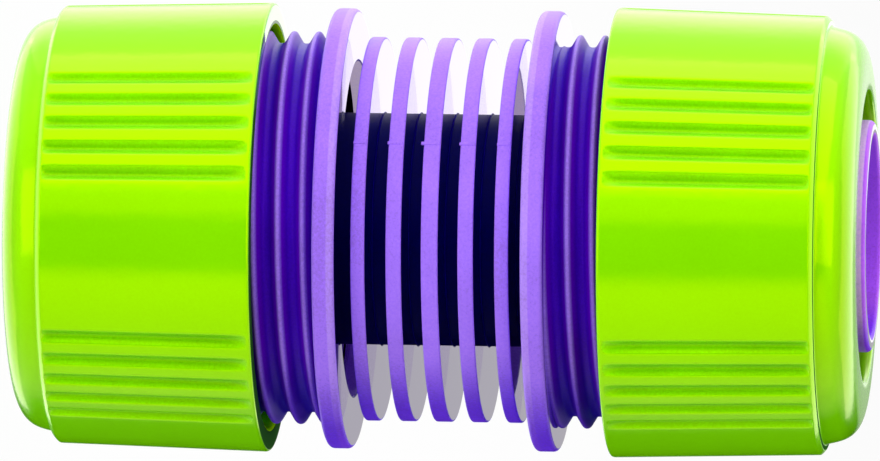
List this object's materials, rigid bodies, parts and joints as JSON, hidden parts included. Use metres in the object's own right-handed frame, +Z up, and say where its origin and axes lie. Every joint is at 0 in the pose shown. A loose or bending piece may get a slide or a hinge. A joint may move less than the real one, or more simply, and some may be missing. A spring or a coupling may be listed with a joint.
{
  "type": "hose mender",
  "caption": "Hose mender: a finned and flanged tube with a hose tail at each end and fluted screw nuts that close split gripper rings on the hose.",
  "frame": {"origin": "centre of the lower nut's front face, on the tube's axis, where the mender stands", "axes": "+Z up along the tube's axis, from the lower nut to the upper nut; X and Y square to it"},
  "size_m": [0.039, 0.039, 0.0742],
  "materials": {
    "body_plastic": "satin moulded violet plastic",
    "nut_plastic": "semi-gloss moulded lime green plastic",
    "ring_plastic": "plain moulded grey-white plastic"
  },
  "bodies": {
    "body": {"mender_body": "body_plastic"},
    "lower_ring": {"lower_gripper_ring": "ring_plastic"},
    "lower_nut": {"lower_nut": "nut_plastic"},
    "upper_ring": {"upper_gripper_ring": "ring_plastic"},
    "upper_nut": {"upper_nut": "nut_plastic"}
  },
  "joints": [
    {"name": "lower_ring_slide", "type": "slide", "parent": "body", "child": "lower_ring", "axis": [0, 0, 1], "range_m": [-0.00376, 0.00521]},
    {"name": "lower_nut_screw", "type": "hinge", "parent": "lower_ring", "child": "lower_nut", "pos_m": [0, 0, 0.011], "axis": [0, 0, 1], "range_deg": [-630, 873]},
    {"name": "upper_ring_slide", "type": "slide", "parent": "body", "child": "upper_ring", "axis": [0, 0, 1], "range_m": [-0.00453, 0.00376]},
    {"name": "upper_nut_screw", "type": "hinge", "parent": "upper_ring", "child": "upper_nut", "pos_m": [0, 0, 0.0627], "axis": [0, 0, 1], "range_deg": [-759, 630]}
  ],
  "couplings": [
    {"joint": "lower_nut_screw", "follows": "lower_ring_slide", "rad_per_m": 2922.4},
    {"joint": "upper_nut_screw", "follows": "upper_ring_slide", "rad_per_m": 2922.4}
  ]
}
